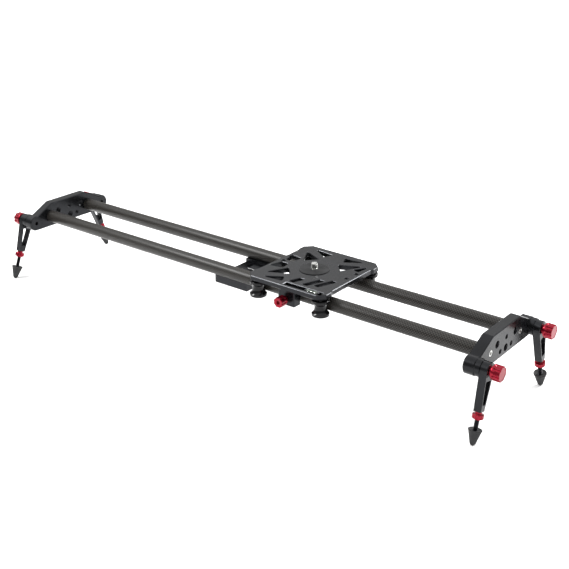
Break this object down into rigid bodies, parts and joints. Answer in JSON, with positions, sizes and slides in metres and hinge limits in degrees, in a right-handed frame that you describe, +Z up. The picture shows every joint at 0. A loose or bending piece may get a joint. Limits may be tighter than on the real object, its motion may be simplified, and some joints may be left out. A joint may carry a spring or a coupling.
{
  "type": "camera slider",
  "caption": "Camera slider: a carriage on grooved rollers runs along two carbon tubes between end blocks with folding, height-adjustable screw-foot legs.",
  "frame": {"origin": "on the floor, midway between the end blocks and midway between the tubes", "axes": "+X along the tubes towards the right end block, +Y to the rear, +Z up"},
  "size_m": [0.889, 0.209, 0.1293],
  "materials": {
    "anodised_black": "bead blasted and black anodised, satin",
    "anodised_red": "turned and red anodised, glossy",
    "carbon_fibre": "woven carbon fibre under satin resin",
    "aluminium_plain": "turned, plain",
    "steel_black": "black oxide, oiled",
    "steel_bright": "zinc plated, bright",
    "bearing_steel": "ground and polished",
    "roller_polymer": "turned acetal, glossy",
    "nylon": "turned nylon, matt",
    "rubber_black": "moulded rubber, matt",
    "level_acrylic": "clear acrylic with tinted liquid"
  },
  "bodies": {
    "rails": {"end_block_left": "anodised_black", "end_block_right": "anodised_black", "tube_front": "carbon_fibre", "tube_rear": "carbon_fibre", "tube_inserts": "aluminium_plain", "tube_end_screws": "steel_bright", "middle_bracket": "anodised_black", "bracket_screws": "steel_black", "bracket_tube_slugs": "aluminium_plain", "leg_friction_washers": "nylon"},
    "carriage": {"carriage_plate": "anodised_black", "lock_block": "anodised_black", "lock_block_screws": "steel_black", "roller_axle_screws": "steel_black", "roller_spacers": "aluminium_plain", "roller_inner_races": "bearing_steel", "camera_pad": "rubber_black", "camera_screw": "steel_bright", "level_vial": "level_acrylic", "level_caps": "steel_black"},
    "lock_pad_body": {"lock_pad": "nylon"},
    "lock_knob_body": {"lock_knob": "anodised_red", "lock_screw": "steel_black"},
    "roller_body_left_front": {"roller_left_front": "roller_polymer", "roller_bearings_left_front": "bearing_steel"},
    "roller_body_left_rear": {"roller_left_rear": "roller_polymer", "roller_bearings_left_rear": "bearing_steel"},
    "roller_body_right_front": {"roller_right_front": "roller_polymer", "roller_bearings_right_front": "bearing_steel"},
    "roller_body_right_rear": {"roller_right_rear": "roller_polymer", "roller_bearings_right_rear": "bearing_steel"},
    "leg_body_left_front": {"leg_left_front": "anodised_black"},
    "leg_knob_body_left_front": {"leg_knob_left_front": "anodised_red", "leg_pivot_screw_left_front": "steel_black"},
    "lock_nut_body_left_front": {"foot_lock_nut_left_front": "anodised_red"},
    "foot_body_left_front": {"foot_stud_left_front": "steel_black", "foot_cone_left_front": "rubber_black"},
    "leg_body_left_rear": {"leg_left_rear": "anodised_black"},
    "leg_knob_body_left_rear": {"leg_knob_left_rear": "anodised_red", "leg_pivot_screw_left_rear": "steel_black"},
    "lock_nut_body_left_rear": {"foot_lock_nut_left_rear": "anodised_red"},
    "foot_body_left_rear": {"foot_stud_left_rear": "steel_black", "foot_cone_left_rear": "rubber_black"},
    "leg_body_right_front": {"leg_right_front": "anodised_black"},
    "leg_knob_body_right_front": {"leg_knob_right_front": "anodised_red", "leg_pivot_screw_right_front": "steel_black"},
    "lock_nut_body_right_front": {"foot_lock_nut_right_front": "anodised_red"},
    "foot_body_right_front": {"foot_stud_right_front": "steel_black", "foot_cone_right_front": "rubber_black"},
    "leg_body_right_rear": {"leg_right_rear": "anodised_black"},
    "leg_knob_body_right_rear": {"leg_knob_right_rear": "anodised_red", "leg_pivot_screw_right_rear": "steel_black"},
    "lock_nut_body_right_rear": {"foot_lock_nut_right_rear": "anodised_red"},
    "foot_body_right_rear": {"foot_stud_right_rear": "steel_black", "foot_cone_right_rear": "rubber_black"}
  },
  "joints": [
    {"name": "carriage_slide", "type": "slide", "parent": "rails", "child": "carriage", "axis": [1, 0, 0], "range_m": [-0.4494, 0.2124]},
    {"name": "roller_spin_left_front", "type": "hinge", "parent": "carriage", "child": "roller_body_left_front", "pos_m": [0.065, -0.05765, 0.097], "axis": [0, 0, 1], "continuous": true},
    {"name": "roller_spin_left_rear", "type": "hinge", "parent": "carriage", "child": "roller_body_left_rear", "pos_m": [0.065, 0.05765, 0.097], "axis": [0, 0, 1], "continuous": true},
    {"name": "roller_spin_right_front", "type": "hinge", "parent": "carriage", "child": "roller_body_right_front", "pos_m": [0.172, -0.05765, 0.097], "axis": [0, 0, 1], "continuous": true},
    {"name": "roller_spin_right_rear", "type": "hinge", "parent": "carriage", "child": "roller_body_right_rear", "pos_m": [0.172, 0.05765, 0.097], "axis": [0, 0, 1], "continuous": true},
    {"name": "lock_pad_slide", "type": "slide", "parent": "carriage", "child": "lock_pad_body", "axis": [0, 1, 0], "range_m": [0, 0.0005]},
    {"name": "lock_knob_turn", "type": "hinge", "parent": "lock_pad_body", "child": "lock_knob_body", "pos_m": [0.1185, -0.064, 0.097], "axis": [0, 1, 0], "range_deg": [0, 180]},
    {"name": "leg_fold_left_front", "type": "hinge", "parent": "rails", "child": "leg_body_left_front", "pos_m": [-0.4133, -0.0705, 0.0922], "axis": [1, 0, 0], "range_deg": [-79, 51]},
    {"name": "leg_knob_turn_left_front", "type": "hinge", "parent": "rails", "child": "leg_knob_body_left_front", "pos_m": [-0.4133, -0.0705, 0.0922], "axis": [-1, 0, 0], "range_deg": [0, 360]},
    {"name": "lock_nut_turn_left_front", "type": "hinge", "parent": "leg_body_left_front", "child": "lock_nut_body_left_front", "pos_m": [-0.42425, -0.08914, 0.04365], "axis": [0, -0.3584, -0.9336], "continuous": true},
    {"name": "foot_adjust_left_front", "type": "slide", "parent": "leg_body_left_front", "child": "foot_body_left_front", "axis": [0, -0.3584, -0.9336], "range_m": [-0.0153, 0.0107]},
    {"name": "leg_fold_left_rear", "type": "hinge", "parent": "rails", "child": "leg_body_left_rear", "pos_m": [-0.4133, 0.0705, 0.0922], "axis": [1, 0, 0], "range_deg": [-46.5, 83.5]},
    {"name": "leg_knob_turn_left_rear", "type": "hinge", "parent": "rails", "child": "leg_knob_body_left_rear", "pos_m": [-0.4133, 0.0705, 0.0922], "axis": [-1, 0, 0], "range_deg": [0, 360]},
    {"name": "lock_nut_turn_left_rear", "type": "hinge", "parent": "leg_body_left_rear", "child": "lock_nut_body_left_rear", "pos_m": [-0.42425, 0.08527, 0.04234], "axis": [0, 0.284, -0.9588], "continuous": true},
    {"name": "foot_adjust_left_rear", "type": "slide", "parent": "leg_body_left_rear", "child": "foot_body_left_rear", "axis": [0, 0.284, -0.9588], "range_m": [-0.0128, 0.0132]},
    {"name": "leg_fold_right_front", "type": "hinge", "parent": "rails", "child": "leg_body_right_front", "pos_m": [0.4133, -0.0705, 0.0922], "axis": [1, 0, 0], "range_deg": [-86, 44]},
    {"name": "leg_knob_turn_right_front", "type": "hinge", "parent": "rails", "child": "leg_knob_body_right_front", "pos_m": [0.4133, -0.0705, 0.0922], "axis": [1, 0, 0], "range_deg": [0, 360]},
    {"name": "lock_nut_turn_right_front", "type": "hinge", "parent": "leg_body_right_front", "child": "lock_nut_body_right_front", "pos_m": [0.42425, -0.08308, 0.04174], "axis": [0, -0.2419, -0.9703], "continuous": true},
    {"name": "foot_adjust_right_front", "type": "slide", "parent": "leg_body_right_front", "child": "foot_body_right_front", "axis": [0, -0.2419, -0.9703], "range_m": [-0.0118, 0.0143]},
    {"name": "leg_fold_right_rear", "type": "hinge", "parent": "rails", "child": "leg_body_right_rear", "pos_m": [0.4133, 0.0705, 0.0922], "axis": [1, 0, 0], "range_deg": [-44, 86]},
    {"name": "leg_knob_turn_right_rear", "type": "hinge", "parent": "rails", "child": "leg_knob_body_right_rear", "pos_m": [0.4133, 0.0705, 0.0922], "axis": [1, 0, 0], "range_deg": [0, 360]},
    {"name": "lock_nut_turn_right_rear", "type": "hinge", "parent": "leg_body_right_rear", "child": "lock_nut_body_right_rear", "pos_m": [0.42425, 0.08308, 0.04174], "axis": [0, 0.2419, -0.9703], "continuous": true},
    {"name": "foot_adjust_right_rear", "type": "slide", "parent": "leg_body_right_rear", "child": "foot_body_right_rear", "axis": [0, 0.2419, -0.9703], "range_m": [-0.0118, 0.0143]}
  ],
  "couplings": [
    {"joint": "roller_spin_left_front", "follows": "carriage_slide", "rad_per_m": 115.61},
    {"joint": "roller_spin_left_rear", "follows": "carriage_slide", "rad_per_m": -115.61},
    {"joint": "roller_spin_right_front", "follows": "carriage_slide", "rad_per_m": 115.61},
    {"joint": "roller_spin_right_rear", "follows": "carriage_slide", "rad_per_m": -115.61}
  ]
}
